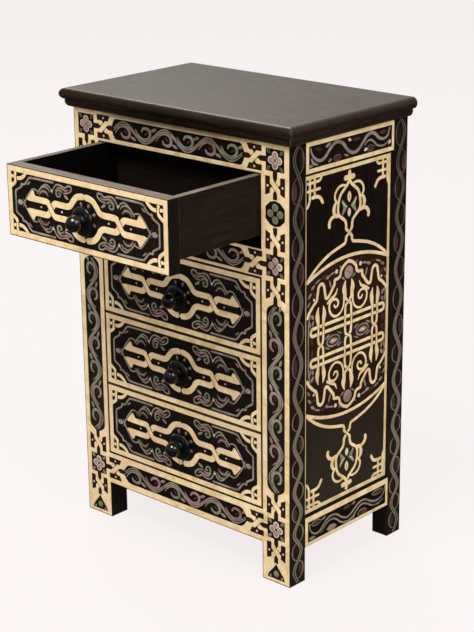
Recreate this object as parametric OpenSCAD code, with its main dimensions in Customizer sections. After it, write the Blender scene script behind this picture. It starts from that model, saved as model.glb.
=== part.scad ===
// Four-drawer nightstand of painted wood, with its top drawer standing open.
// Lengths are millimetres. X runs to the right, Y runs to the back and Z is up.
// Z = 0 is the floor, and the origin is the centre of the space on the floor
// that the piece takes with its top drawer open.

/* [Carcass] */
// Width of the carcass across the posts
body_w = 420; // [370:5:520]
// Depth of the carcass across the posts
body_d = 258; // [254:2:340]
// Width of a front post on the front
front_post_w = 52; // [42:1:64]
// Depth of a front post on the side
front_post_d = 33; // [28:1:40]
// Width of a back post on the back
back_post_w = 28; // [26:1:36]
// Depth of a back post on the side
back_post_d = 31; // [26:1:36]
// Thickness of the front and side rails
rail_t = 20; // [18:1:24]
// Height of the bottom front rail's lower edge above the floor
apron_z = 58; // [40:1:90]
// Height of the bottom front rail
bottom_rail_h = 52; // [36:1:70]
// Height of one drawer place below the middle rail
drawer_pitch = 115.5; // [105:0.5:140]
// Height of the middle front rail
middle_rail_h = 42; // [32:1:60]
// Height of the top drawer's place
top_opening_h = 104; // [98:1:130]
// Height of the top front rail that shows below the moulding
top_rail_h = 45; // [32:1:60]

/* [Sides and back] */
// Height of the bottom side rail's lower edge above the floor
side_apron_z = 52; // [36:1:90]
// Height of the bottom side rail
side_bottom_rail_h = 46; // [34:1:64]
// Height of the top side rail that shows below the moulding
side_top_rail_h = 44.5; // [32:0.5:60]
// Thickness of a side panel
panel_t = 6; // [4:0.5:9]
// Depth of a side panel's face behind the face of its rails
panel_recess = 5; // [2:0.5:7]
// How far a side panel's edge reaches into its groove
panel_groove = 6; // [4:0.5:8]
// Thickness of the back rails
back_rail_t = 18; // [14:1:22]
// Height of the bottom back rail
back_rail_h = 46; // [34:1:70]
// Thickness of the back panel
back_panel_t = 5; // [4:0.5:8]
// Depth of the back rails and back panel behind the posts' back faces
back_inset = 3; // [1:0.5:4]

/* [Joinery] */
// Thickness of the rails' tenons
tenon_t = 8; // [6:0.5:9]
// Length of the front and side rails' tenons
tenon_l = 14; // [8:1:16]
// Length of the back rails' tenons
back_tenon_l = 10; // [6:1:12]
// Height of the shoulder above and below a tenon
tenon_shoulder = 7; // [4:1:9]
// Wood left between a side rail's tenon and the panel's groove
groove_margin = 2; // [1:0.5:4]
// Gap round a tenon or a panel's edge in its slot
joint_gap = 0.1; // [0.05:0.05:0.3]

/* [Top and moulding] */
// Thickness of the top
top_t = 17; // [12:0.5:24]
// Overhang of the top at the front
over_front = 15; // [11:1:30]
// Overhang of the top at each side
over_side = 15; // [11:1:30]
// Overhang of the top at the back
over_back = 2; // [0:1:10]
// Height of the moulding under the top
moulding_h = 11; // [8:0.5:18]
// Reach of the moulding in front of the posts
moulding_reach = 9; // [6:0.5:10]
// Depth of the moulding's lower edge
moulding_foot = 2; // [1:0.5:4]
// Height of the moulding's straight lip above its curve
moulding_lip = 2.75; // [1:0.25:5]

/* [Drawers] */
// Thickness of a drawer front
front_t = 20; // [16:0.5:24]
// Gap round a drawer front in its place
front_gap = 0.9; // [0.5:0.1:1.5]
// Height of the top drawer's sides, as the other drawers' end as far above their fronts' edge
side_h = 84; // [60:1:88]
// Thickness of a drawer's sides
side_t = 10.5; // [8:0.5:14]
// Thickness of a drawer's back
drawer_back_t = 10; // [8:0.5:14]
// Thickness of a drawer's bottom
drawer_bottom_t = 5; // [4:0.5:8]
// Height of a drawer's bottom above the lower edge of its sides
bottom_rise = 6; // [4:0.5:12]
// Depth of the groove that holds a drawer's bottom
bottom_groove = 4; // [3:0.5:6]
// Length of a drawer from the face of its front to its back
drawer_l = 212; // [200:1:216]
// How far the top drawer stands open
open_pull = 177; // [0:1:180]

/* [Runners] */
// Thickness of a runner under a drawer's side
runner_t = 18; // [12:1:22]
// How far a runner reaches inwards past a drawer's side
runner_lip = 3; // [0:1:8]
// Height of a runner's guide beside a drawer's side
guide_h = 12; // [6:1:20]
// Gap between a drawer and the runners, guides and stops round it
running_gap = 0.3; // [0.2:0.1:0.6]
// Thickness of a divider rail
divider_t = 20; // [14:1:26]
// Gap between a divider rail and the drawer fronts before it
divider_gap = 0.6; // [0.4:0.1:2]
// Length of a drawer stop
stop_l = 8; // [5:1:10]
// Height of a drawer stop
stop_h = 12; // [8:1:20]

/* [Knobs and screws] */
// Diameter of a knob's collar
knob_d = 41; // [38:1:46]
// Reach of a knob in front of its drawer
knob_reach = 32; // [31:1:36]
// Diameter of a knob's foot
knob_foot_d = 30; // [22:1:32]
// Diameter of a knob's neck, between its collar and its button
knob_neck_d = 16; // [14:1:17]
// Length of a knob's neck
knob_neck_h = 2; // [1:0.5:2.5]
// Diameter of the round button at a knob's end
knob_button_d = 24; // [20:1:25]
// Thickness of a knob's foot
knob_foot_t = 3; // [2:0.5:3.5]
// How far a knob sits under the middle of its drawer's front
knob_drop = 4; // [0:0.5:5]
// Diameter of the screws' shanks
screw_d = 4; // [3:0.5:5]
// Diameter of the screws' heads
screw_head_d = 8; // [6.5:0.5:9.5]
// Thickness of the screws' heads
screw_head_t = 2.8; // [2:0.2:4]
// How deep a knob's screw reaches into it
knob_screw_in = 12; // [8:1:15]
// How deep a top screw reaches into the top
top_screw_in = 11; // [8:0.5:11]
// Length of a top screw in its rail
top_screw_grip = 25; // [18:1:32]
// Distance between the two top screws of a rail
top_screw_spread = 180; // [100:10:280]
// Distance of the back top screws behind the back rail's front face
top_screw_back = 6.5; // [6:0.5:8]
// Gap between a screw and its own thread hole
thread_gap = 0.05; // [0.02:0.01:0.1]
// Gap between a screw and the hole that it passes through
hole_gap = 0.3; // [0.2:0.1:0.6]

/* [Hidden] */
$fn = 64;
// Depth left empty past a screw's end
end_gap = 0.5;
// How far a cut runs past the surface that it opens
past = 1;
top_drawer = 1;
bottom_drawer = 4;
DRAWERS = [top_drawer:bottom_drawer];
SIDES = [-1, 1];

// Heights, from the floor up
bottom_rail_top = apron_z + bottom_rail_h;
middle_rail_z = bottom_rail_top + (bottom_drawer - top_drawer) * drawer_pitch;
top_place_z = middle_rail_z + middle_rail_h;
top_rail_z = top_place_z + top_opening_h;
body_h = top_rail_z + top_rail_h;
post_h = body_h + moulding_h;
side_top_rail_z = body_h - side_top_rail_h;
side_panel_z = side_apron_z + side_bottom_rail_h;
back_panel_z = side_apron_z + back_rail_h;

// Planes, from the front to the back
front_y = (open_pull + knob_reach - body_d - over_back) / 2;
post_back_y = front_y + front_post_d;
back_post_y = front_y + body_d - back_post_d;
back_y = front_y + body_d;
back_rail_y = back_y - back_inset - back_rail_t;
back_panel_y = back_y - back_inset - back_panel_t;
divider_y = front_y + front_t + divider_gap;
divider_back_y = divider_y + divider_t;

// Widths, from the middle to the right
half_w = body_w / 2;
opening_half = half_w - front_post_w;
back_half = half_w - back_post_w;
rail_in = half_w - rail_t;
panel_out = half_w - panel_recess;
panel_in = panel_out - panel_t;

// Drawers
front_half = opening_half - front_gap;
side_in = front_half - side_t;
tenon_y = front_y + rail_t / 2;
tenon_x = half_w - rail_t / 2;
back_tenon_y = back_rail_y + back_rail_t / 2;
// How far a tenon's solid runs back into its own rail
root = 4;
side_shoulder = panel_groove + groove_margin;

// Places of the screws that hold the top, two in the front rail and two in the back one
TOP_SCREWS = [
    for (s = SIDES) for (y = [front_y + rail_t / 2, back_rail_y + top_screw_back])
        [s * top_screw_spread / 2, y]
];

// Lower edge and height of each drawer's place, the top one first
function place_z(n) =
    n == top_drawer ? top_place_z : bottom_rail_top + (bottom_drawer - n) * drawer_pitch;
function place_h(n) = n == top_drawer ? top_opening_h : drawer_pitch;
function front_z(n) = place_z(n) + front_gap;
function front_h(n) = place_h(n) - 2 * front_gap;
function front_top(n) = front_z(n) + front_h(n);
function knob_z(n) = front_z(n) + front_h(n) / 2 - knob_drop;
function side_z(n) = front_z(n) + front_h(top_drawer) - side_h;
function drawer_y(n) = front_y - (n == top_drawer ? open_pull : 0);
// Whether a divider rail lies under the front of drawer n
function divided(n) = n > top_drawer && n < bottom_drawer;
function drawer_node(n, piece) = str("drawer_", n, "_", piece);
function runner_node(n, s) = str("runner_", n, s < 0 ? "_left" : "_right");

DRAWER_PIECES = ["front", "side_left", "side_right", "back", "bottom", "knob", "knob_screw"];

// A board between two corners
module board(low, high) {
    translate(low) cube(high - low);
}

// The same shape on the left side, s = -1, or on the right side, s = 1
module on_side(s) {
    if (s < 0) mirror([1, 0, 0]) children();
    else children();
}

// Tenon of a front rail, or its mortise when grow is above zero
module front_tenon(z0, z1, grow = 0) {
    board(
        [opening_half - root, tenon_y - tenon_t / 2 - grow, z0 + tenon_shoulder - grow],
        [opening_half + tenon_l + grow, tenon_y + tenon_t / 2 + grow, z1 - tenon_shoulder + grow]
    );
}

// Tenon of a side rail in a front post, or its mortise
module side_tenon_front(z0, z1, grow = 0) {
    board(
        [tenon_x - tenon_t / 2 - grow, post_back_y - tenon_l - grow, z0 + side_shoulder - grow],
        [tenon_x + tenon_t / 2 + grow, post_back_y + root, z1 - side_shoulder + grow]
    );
}

// Tenon of a side rail in a back post, or its mortise
module side_tenon_back(z0, z1, grow = 0) {
    board(
        [tenon_x - tenon_t / 2 - grow, back_post_y - root, z0 + side_shoulder - grow],
        [tenon_x + tenon_t / 2 + grow, back_post_y + tenon_l + grow, z1 - side_shoulder + grow]
    );
}

// Tenon of a back rail, or its mortise
module back_tenon(z0, z1, grow = 0) {
    board(
        [back_half - root, back_tenon_y - tenon_t / 2 - grow, z0 + tenon_shoulder - grow],
        [back_half + back_tenon_l + grow, back_tenon_y + tenon_t / 2 + grow,
            z1 - tenon_shoulder + grow]
    );
}

// The side panel's board, or the space that its grooves take when grow is above zero
module panel_board(grow = 0) {
    reach = panel_groove + grow;
    board(
        [panel_in - grow, post_back_y - reach, side_panel_z - reach],
        [panel_out + grow, back_post_y + reach, side_top_rail_z + reach]
    );
}

// Front post on the right, full height, with its mortises and the panel's groove
module front_post_shape() {
    difference() {
        board([opening_half, front_y, 0], [half_w, post_back_y, post_h]);
        front_tenon(apron_z, bottom_rail_top, joint_gap);
        front_tenon(middle_rail_z, top_place_z, joint_gap);
        front_tenon(top_rail_z, post_h, joint_gap);
        side_tenon_front(side_apron_z, side_panel_z, joint_gap);
        side_tenon_front(side_top_rail_z, post_h, joint_gap);
        panel_board(joint_gap);
    }
}

module front_post(s) {
    color([0.09, 0.07, 0.06]) on_side(s) front_post_shape();
}

// Back post on the right, full height
module back_post_shape() {
    difference() {
        board([back_half, back_post_y, 0], [half_w, back_y, post_h]);
        side_tenon_back(side_apron_z, side_panel_z, joint_gap);
        side_tenon_back(side_top_rail_z, post_h, joint_gap);
        back_tenon(side_apron_z, back_panel_z, joint_gap);
        back_tenon(side_top_rail_z, post_h, joint_gap);
        panel_board(joint_gap);
    }
}

module back_post(s) {
    color([0.09, 0.07, 0.06]) on_side(s) back_post_shape();
}

// Front rail between two heights, with a tenon at each end
module front_rail(z0, z1) {
    color([0.10, 0.08, 0.06]) {
        board([-opening_half, front_y, z0], [opening_half, front_y + rail_t, z1]);
        for (s = SIDES) on_side(s) front_tenon(z0, z1);
    }
}

// Holes for the screws that hold the top, sunk from below so that the heads sit deep
module top_screw_holes() {
    for (p = TOP_SCREWS) translate([p.x, p.y, post_h]) {
        translate([0, 0, -top_screw_grip - past])
            cylinder(d = screw_d + 2 * hole_gap, h = top_screw_grip + 2 * past);
        translate([0, 0, -top_screw_grip - body_h])
            cylinder(d = screw_head_d + 2 * hole_gap, h = body_h);
    }
}

module top_rail() {
    difference() {
        front_rail(top_rail_z, post_h);
        color([0.10, 0.08, 0.06]) top_screw_holes();
    }
}

// Side rail between two heights, grooved for the side panel
module side_rail(s, z0, z1) {
    color([0.10, 0.08, 0.06]) on_side(s) difference() {
        union() {
            board([rail_in, post_back_y, z0], [half_w, back_post_y, z1]);
            side_tenon_front(z0, z1);
            side_tenon_back(z0, z1);
        }
        panel_board(joint_gap);
    }
}

module side_panel(s) {
    color([0.13, 0.10, 0.09]) on_side(s) panel_board(0);
}

// Back rail between two heights, with a tenon at each end
module back_rail(z0, z1) {
    color([0.06, 0.05, 0.05]) {
        board([-back_half, back_rail_y, z0], [back_half, back_rail_y + back_rail_t, z1]);
        for (s = SIDES) on_side(s) back_tenon(z0, z1);
    }
}

module back_rail_top() {
    difference() {
        back_rail(side_top_rail_z, post_h);
        color([0.06, 0.05, 0.05]) top_screw_holes();
    }
}

module back_panel() {
    color([0.06, 0.05, 0.05])
        board(
            [-back_half, back_panel_y, back_panel_z],
            [back_half, back_panel_y + back_panel_t, side_top_rail_z]
        );
}

// Divider rail behind the drawer fronts, under the front of drawer n
module divider_rail(n) {
    color([0.12, 0.09, 0.07])
        board(
            [-opening_half, divider_y, front_z(n)],
            [opening_half, divider_back_y, side_z(n) - running_gap]
        );
}

// Runner of drawer n on the right: a shelf under the drawer's side and a guide beside it,
// notched round the end of its divider rail
module runner(n, s) {
    top = side_z(n) - running_gap;
    color([0.30, 0.22, 0.15]) on_side(s) difference() {
        board(
            [side_in - runner_lip, post_back_y, top - runner_t],
            [rail_in, back_post_y, top + guide_h]
        );
        board(
            [side_in - runner_lip - past, post_back_y - past, top],
            [front_half + running_gap, back_post_y + past, top + guide_h + past]
        );
        if (divided(n))
            board(
                [side_in - runner_lip - past, front_y, top - runner_t - past],
                [opening_half, divider_back_y, top + past]
            );
    }
}

// Blocks on the runners' back ends that stop the closed drawers
module drawer_stops() {
    color([0.30, 0.22, 0.15]) for (n = DRAWERS) for (s = SIDES) on_side(s)
        board(
            [side_in, front_y + drawer_l + running_gap, side_z(n) - running_gap],
            [front_half, front_y + drawer_l + running_gap + stop_l,
                side_z(n) - running_gap + stop_h]
        );
}

// Outline of the top across its width, with a half-round nose at each side
module top_section_across() {
    nose = top_t / 2;
    reach = half_w + over_side - nose;
    translate([-reach, 0]) square([2 * reach, top_t]);
    for (s = SIDES) translate([s * reach, nose]) circle(nose);
}

// Outline of the top along its depth, with a half-round nose at the front only
module top_section_along() {
    nose = top_t / 2;
    front = front_y - over_front + nose;
    translate([front, 0]) square([back_y + over_back - front, top_t]);
    translate([front, nose]) circle(nose);
}

module table_top() {
    color([0.24, 0.19, 0.16]) difference() {
        translate([0, 0, post_h]) intersection() {
            translate([0, body_d, 0]) rotate([90, 0, 0])
                linear_extrude(2 * body_d + 2 * open_pull) top_section_across();
            translate([-body_w, 0, 0]) rotate([90, 0, 90])
                linear_extrude(2 * body_w) top_section_along();
        }
        for (p = TOP_SCREWS) translate([p.x, p.y, post_h - past])
            cylinder(d = screw_d + 2 * thread_gap, h = top_screw_in + past + end_gap);
    }
}

// Outline of the moulding, from the post's face outwards: a quarter round and a lip
module moulding_section() {
    nose_w = moulding_reach - moulding_foot;
    nose_h = moulding_h - moulding_lip;
    steps = 8;
    polygon(concat(
        [[0, moulding_h], [0, 0]],
        [for (i = [0:steps]) let (a = 90 * i / steps)
            [moulding_foot + nose_w * sin(a), nose_h * (1 - cos(a))]],
        [[moulding_reach, moulding_h]]
    ));
}

// Front strip of the moulding, mitred at both ends
module moulding_front() {
    far = half_w + moulding_reach;
    color([0.20, 0.15, 0.13]) intersection() {
        translate([-far, front_y, body_h]) rotate([90, 0, 90])
            linear_extrude(2 * far) mirror([1, 0]) moulding_section();
        translate([0, front_y + half_w, body_h - past]) rotate([0, 0, 45])
            translate([-2 * far, -2 * far, 0]) cube([2 * far, 2 * far, moulding_h + 2 * past]);
    }
}

// Side strip of the moulding, mitred at the front and square at the back
module moulding_side(s) {
    far = 2 * body_d;
    color([0.20, 0.15, 0.13]) on_side(s) intersection() {
        translate([half_w, back_y, body_h]) rotate([90, 0, 0])
            linear_extrude(body_d + moulding_reach) moulding_section();
        translate([half_w, front_y, body_h - past]) rotate([0, 0, -45])
            translate([-far, 0, 0]) cube([2 * far, far, moulding_h + 2 * past]);
    }
}

// Wood screws that hold the top down from inside the front and back rails
module top_screws() {
    color([0.75, 0.72, 0.62]) for (p = TOP_SCREWS)
        translate([p.x, p.y, post_h - top_screw_grip]) {
            translate([0, 0, -screw_head_t]) cylinder(d = screw_head_d, h = screw_head_t);
            cylinder(d = screw_d, h = top_screw_grip + top_screw_in);
        }
}

// Front board of drawer n, with the knob screw's hole and the bottom's groove
module drawer_front(n) {
    y = drawer_y(n);
    color([0.11, 0.09, 0.08]) difference() {
        board([-front_half, y, front_z(n)], [front_half, y + front_t, front_top(n)]);
        translate([0, y - past, knob_z(n)]) rotate([-90, 0, 0])
            cylinder(d = screw_d + 2 * hole_gap, h = front_t + 2 * past);
        drawer_bottom_board(n, joint_gap);
    }
}

module drawer_side(n, s) {
    y = drawer_y(n);
    color([0.22, 0.19, 0.17]) on_side(s) difference() {
        board([side_in, y + front_t, side_z(n)], [front_half, y + drawer_l, front_top(n)]);
        drawer_bottom_board(n, joint_gap);
    }
}

module drawer_back(n) {
    y = drawer_y(n) + drawer_l;
    color([0.20, 0.17, 0.15])
        board(
            [-side_in, y - drawer_back_t, side_z(n) + bottom_rise + drawer_bottom_t],
            [side_in, y, front_top(n)]
        );
}

// The drawer's bottom, or the space that its grooves take when grow is above zero
module drawer_bottom_board(n, grow = 0) {
    y = drawer_y(n);
    z = side_z(n) + bottom_rise;
    reach = side_in + bottom_groove + grow;
    board(
        [-reach, y + front_t - bottom_groove - grow, z - grow],
        [reach, y + drawer_l + grow, z + drawer_bottom_t + grow]
    );
}

module drawer_bottom(n) {
    color([0.24, 0.20, 0.17]) drawer_bottom_board(n, 0);
}

// Half outline of a knob, from its axis outwards: its foot, the rim and dome of its collar, its
// neck and the round button at its end
module knob_section() {
    r = knob_d / 2;
    foot_r = knob_foot_d / 2;
    neck_r = knob_neck_d / 2;
    button_r = knob_button_d / 2;
    // How far the rim curves out and up from the foot
    rim_round = knob_foot_t;
    rim_z = knob_foot_t + rim_round;
    button_z = knob_reach - button_r;
    // Angle at which the button grows out of the neck
    neck_a = acos(neck_r / button_r);
    dome = button_z - button_r * sin(neck_a) - knob_neck_h - rim_z;
    half_steps = 6;
    button_steps = 12;
    polygon(concat(
        [[0, 0], [foot_r, 0], [foot_r, knob_foot_t]],
        [for (i = [0:half_steps]) let (a = 90 * i / half_steps)
            [r - rim_round * (1 - sin(a)), knob_foot_t + rim_round * (1 - cos(a))]],
        [for (i = [1:half_steps]) let (a = 90 * i / half_steps)
            [neck_r + (r - neck_r) * cos(a), rim_z + dome * sin(a)]],
        [for (i = [0:button_steps]) let (a = (neck_a + 90) * i / button_steps - neck_a)
            [button_r * cos(a), button_z + button_r * sin(a)]]
    ));
}

module drawer_knob(n) {
    color([0.04, 0.04, 0.04]) translate([0, drawer_y(n), knob_z(n)]) rotate([90, 0, 0])
        difference() {
            rotate_extrude() knob_section();
            translate([0, 0, -past])
                cylinder(d = screw_d + 2 * thread_gap, h = knob_screw_in + past + end_gap);
        }
}

// Screw that holds the knob of drawer n from inside the drawer
module drawer_knob_screw(n) {
    color([0.75, 0.72, 0.62]) translate([0, drawer_y(n) + front_t, knob_z(n)]) rotate([90, 0, 0]) {
        cylinder(d = screw_d, h = front_t + knob_screw_in);
        translate([0, 0, -screw_head_t]) cylinder(d = screw_head_d, h = screw_head_t);
    }
}

table_top();
moulding_front();
moulding_side(-1);  // moulding_left
moulding_side(1);  // moulding_right
front_post(-1);  // front_post_left
front_post(1);  // front_post_right
back_post(-1);  // back_post_left
back_post(1);  // back_post_right
top_rail();
front_rail(middle_rail_z, top_place_z);  // middle_rail
front_rail(apron_z, bottom_rail_top);  // bottom_rail
divider_rail(2);  // divider_rail_upper
divider_rail(3);  // divider_rail_lower
side_rail(-1, side_top_rail_z, post_h);  // side_rail_top_left
side_rail(1, side_top_rail_z, post_h);  // side_rail_top_right
side_rail(-1, side_apron_z, side_panel_z);  // side_rail_bottom_left
side_rail(1, side_apron_z, side_panel_z);  // side_rail_bottom_right
side_panel(-1);  // side_panel_left
side_panel(1);  // side_panel_right
back_rail_top();
back_rail(side_apron_z, back_panel_z);  // back_rail_bottom
back_panel();
for (n = DRAWERS) for (s = SIDES)
    runner(n, s);
drawer_stops();
top_screws();
for (n = DRAWERS) {
    drawer_front(n);
    drawer_side(n, -1);
    drawer_side(n, 1);
    drawer_back(n);
    drawer_bottom(n);
    drawer_knob(n);
    drawer_knob_screw(n);
}
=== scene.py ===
import math

import bpy
import numpy as np
from mathutils import Matrix, Vector
from mathutils.geometry import delaunay_2d_cdt


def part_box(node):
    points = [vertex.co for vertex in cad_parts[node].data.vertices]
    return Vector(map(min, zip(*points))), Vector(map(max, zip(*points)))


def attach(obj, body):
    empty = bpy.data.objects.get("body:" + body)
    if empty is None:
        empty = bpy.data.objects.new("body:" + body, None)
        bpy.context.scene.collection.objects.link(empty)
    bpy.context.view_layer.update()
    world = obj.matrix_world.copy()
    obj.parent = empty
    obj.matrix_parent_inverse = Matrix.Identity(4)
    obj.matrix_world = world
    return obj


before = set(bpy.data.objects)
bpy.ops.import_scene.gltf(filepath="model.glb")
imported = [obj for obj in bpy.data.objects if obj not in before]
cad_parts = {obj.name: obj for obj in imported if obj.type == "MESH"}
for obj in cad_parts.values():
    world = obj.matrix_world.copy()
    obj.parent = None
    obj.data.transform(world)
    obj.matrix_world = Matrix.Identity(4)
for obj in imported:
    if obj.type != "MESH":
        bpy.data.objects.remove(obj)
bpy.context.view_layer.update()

# Looks of a small painted nightstand. Lengths in this script are millimetres, as in the
# frame's source, and turn into metres where meshes are made. The painted ornament is laid
# on the boards as thin closed shapes, a few tenths of a millimetre proud.
MM = 0.001


def corners(node):
    """Lowest and highest corner of a CAD node, in millimetres."""
    return [Vector(corner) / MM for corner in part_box(node)]


# Sizes that the ornament follows, read from the frame
post_low, post_high = corners("front_post_right")
back_post_low, back_post_high = corners("back_post_right")
front_y = post_low.y
half_w = post_high.x
opening_half = post_low.x
centre_y = (front_y + back_post_high.y) / 2
moulding_z = corners("moulding_front")[0].z
middle_rail_z, middle_rail_top = (corner.z for corner in corners("middle_rail"))
apron_z, apron_top = (corner.z for corner in corners("bottom_rail"))
side_apron_z, side_panel_z = (corner.z for corner in corners("side_rail_bottom_right"))
side_top_rail_z = corners("side_rail_top_right")[0].z
panel_x = corners("side_panel_right")[1].x
# Lowest and highest line of the places for the top drawer and for the others
top_place = (middle_rail_top, corners("top_rail")[0].z)
lower_place = (apron_top, middle_rail_z)
DRAWERS = (1, 2, 3, 4)


# Materials

def tone(red, green, blue):
    """A colour given in screen values from 0 to 255, as linear red, green, blue and alpha."""
    parts = [c / 255 for c in (red, green, blue)]
    return [c / 12.92 if c < 0.04 else ((c + 0.055) / 1.055) ** 2.4 for c in parts] + [1]


class Nodes:
    """Short ways to lay out the nodes of one material or world."""

    def __init__(self, name, owners=bpy.data.materials, out="OutputMaterial"):
        self.owner = owners.new(name)
        self.owner.use_nodes = True
        self.tree = self.owner.node_tree
        self.tree.nodes.clear()
        self.out = self.add(out)

    def add(self, kind, inputs=None, **settings):
        node = self.tree.nodes.new("ShaderNode" + kind)
        for key, value in settings.items():
            setattr(node, key, value)
        for key, value in (inputs or {}).items():
            self.feed(node, key, value)
        return node

    def feed(self, node, key, value):
        if isinstance(value, bpy.types.NodeSocket):
            self.tree.links.new(value, node.inputs[key])
        else:
            node.inputs[key].default_value = value

    def place(self):
        return self.add("TexCoord").outputs["Object"]

    def normal(self):
        return self.add("NewGeometry").outputs["Normal"]

    def parts(self, vector):
        """The three parts of a vector."""
        return self.add("SeparateXYZ", {0: vector}).outputs

    def noise(self, scale, detail, roughness, stretch=(1, 1, 1), distortion=0.0):
        mapping = self.add("Mapping", {"Vector": self.place(), "Scale": stretch})
        return self.add("TexNoise", {
            "Vector": mapping.outputs[0], "Scale": scale, "Detail": detail,
            "Roughness": roughness, "Distortion": distortion,
        }).outputs[0]

    def ramp(self, value, places, shades):
        node = self.add("ValToRGB", {"Fac": value})
        while len(node.color_ramp.elements) < len(places):
            node.color_ramp.elements.new(0.5)
        for element, place, shade in zip(node.color_ramp.elements, places, shades):
            element.position = place
            element.color = tone(*shade)
        return node.outputs[0]

    def span(self, value, low, high, start=0.3, end=0.7):
        return self.add("MapRange", {0: value, 1: start, 2: end, 3: low, 4: high}).outputs[0]

    def mix(self, factor, first, second):
        return self.add("Mix", {0: factor, 6: first, 7: second}, data_type="RGBA").outputs[2]

    def multiply(self, first, second):
        return self.add("Math", {0: first, 1: second}, operation="MULTIPLY").outputs[0]

    def rounded(self, radius, samples):
        """The normal with its edges rounded by a radius in metres."""
        return self.add("Bevel", {"Radius": radius}, samples=samples).outputs[0]

    def finish(self, colour, rough, height, bump_mm, fixed, normal=None):
        """The material of all this. fixed holds the shader's inputs that don't vary."""
        bump = self.add("Bump", {"Height": height, "Distance": bump_mm * MM, "Strength": 1.0})
        if normal is not None:
            self.feed(bump, "Normal", normal)
        inputs = {"Base Color": colour, "Roughness": rough, "Normal": bump.outputs[0], **fixed}
        return self.shown(self.add("BsdfPrincipled", inputs))

    def shown(self, shader):
        self.feed(self.out, "Surface", shader.outputs[0])
        return self.owner


def stained_wood(name, shades, along, rough, worn=None, wear=0.5, top=None, shine=0.07,
                 inside=None, low=None):
    """Dark stained or lacquered wood with its grain along X, Y or Z and its edges worn.

    shades run from dark to light. top is a second colour for faces that look up: wood that
    hands have rubbed bare on the drawers, and a painted sheen on the table top. inside is one
    for faces that look to the middle, painted shade inside the drawers, and low is one for the
    lower part, a painted reflection of the pale floor.
    """
    n = Nodes(name)
    mid = tone(*shades[1])
    stretch = [1.0 if axis == along else 14.0 for axis in "XYZ"]
    grain = n.noise(14, 6, 0.62, stretch, 0.4)
    cloud = n.noise(9, 3, 0.5)
    colour = n.ramp(grain, (0.32, 0.52, 0.72), shades)
    colour = n.mix(n.span(cloud, 0.0, 0.55, 0.42, 0.66), colour, mid)
    # Faces that look up take the top colour: rubbed bare wood on the drawers, a painted sheen on
    # the table top.
    if top is not None:
        rubbed_and_sheen_top = n.mix(n.span(grain, 0.0, 0.5, 0.4, 0.6), tone(*top), mid)
        colour = n.mix(n.span(n.parts(n.normal())[2], 0.0, 1.0, 0.6, 0.9), colour, rubbed_and_sheen_top)
    place = n.parts(n.place())
    # Faces that look to the middle take the inside colour: painted shade inside the drawers.
    if inside is not None:
        facing = n.multiply(n.parts(n.normal())[0], place[0])
        colour = n.mix(n.span(facing, 1.0, 0.0, -0.09, -0.04), colour, tone(*inside))
    # Lighter towards the bottom: a painted reflection of the pale floor, lit more near it.
    if low is not None:
        floor_reflection_share = n.span(place[2], 1.0, 0.0, 0.12, 0.46)
        colour = n.mix(n.multiply(floor_reflection_share, n.span(cloud, 0.75, 1.0)), colour, tone(*low))
    soft = n.rounded(0.0012, 6)
    if worn is not None:
        flat = n.add("VectorMath", {0: soft, 1: n.normal()}, operation="DOT_PRODUCT")
        edge = n.span(flat.outputs["Value"], 0, 1, 0.985, 0.80)
        rub = n.multiply(edge, n.span(n.noise(60, 4, 0.6), 0.0, wear, 0.42, 0.62))
        colour = n.mix(rub, colour, tone(*worn))
    height = n.mix(0.5, grain, n.noise(220, 3, 0.5, stretch))
    fixed = {"Specular IOR Level": shine, "Specular Tint": WARM}
    return n.finish(colour, n.span(n.noise(45, 5, 0.65), *rough), height, 0.12, fixed, soft)


def paint(name, *shades, blush=None, low=None):
    """Hand-brushed paint, with thin and thick places.

    shades run from dark to light, blush is the colour of wide patches, and low the colour
    near the floor, painted light reflected from the pale floor.
    """
    n = Nodes(name)
    colour = n.ramp(n.noise(60, 5, 0.6, distortion=0.6), (0.30, 0.48, 0.68), shades)
    patch = tone(*(shades[1] if blush is None else blush))
    colour = n.mix(n.span(n.noise(12, 2, 0.5), 0.0, 0.6, 0.42, 0.62), colour, patch)
    # Lighter near the floor: painted light from the pale floor.
    if low is not None:
        share = n.span(n.parts(n.place())[2], 0.8, 0.0, 0.08, 0.54)
        colour = n.mix(share, colour, tone(*low))
    rough = n.span(n.noise(130, 3, 0.6), 0.42, 0.6)
    return n.finish(colour, rough, n.noise(350, 4, 0.6), 0.10, {"Specular IOR Level": 0.12})


def gloss(name, *shades):
    """Thick gloss lacquer on a turned knob, with fine turning marks and dust."""
    n = Nodes(name)
    colour = n.ramp(n.noise(180, 5, 0.65), (0.45, 0.8), shades)
    rough = n.span(n.noise(70, 4, 0.6), 0.10, 0.20, 0.35, 0.7)
    fixed = {"Coat Weight": 0.6, "Coat Roughness": 0.06, "Specular IOR Level": 0.45}
    return n.finish(colour, rough, n.noise(120, 2, 0.5), 0.05, fixed, n.rounded(0.004, 8))


def zinc(name, *shades):
    """Zinc-plated steel of the hidden screws."""
    n = Nodes(name)
    stain = n.noise(90, 4, 0.6)
    colour = n.ramp(stain, (0.35, 0.65), shades)
    rough = n.span(stain, 0.28, 0.45)
    return n.finish(colour, rough, n.noise(400, 2, 0.5), 0.03, {"Metallic": 1.0})


WARM = tone(255, 225, 192)
BLACK = ((14, 10, 7), (21, 15, 11), (31, 24, 18))
SATIN = (0.34, 0.5)
WORN = (96, 74, 54)
RUBBED = (118, 106, 92)
# The upright lacquer's low colour is a painted reflection of the pale floor on the lower posts.
lacquer = {
    axis: stained_wood(
        f"black_lacquer_{axis.lower()}", BLACK, axis, SATIN, WORN,
        low=(36, 29, 22) if axis == "Z" else None,
    )
    for axis in "XYZ"
}
# The table top's colour for faces that look up, (54, 41, 26), is a painted sheen.
espresso = {
    axis: stained_wood(
        f"espresso_{axis.lower()}", ((24, 17, 12), (35, 26, 19), (50, 38, 29)), axis,
        (0.27, 0.38), (150, 130, 110), 1.0, (54, 41, 26), 0.18,
    )
    for axis in "XY"
}
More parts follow.
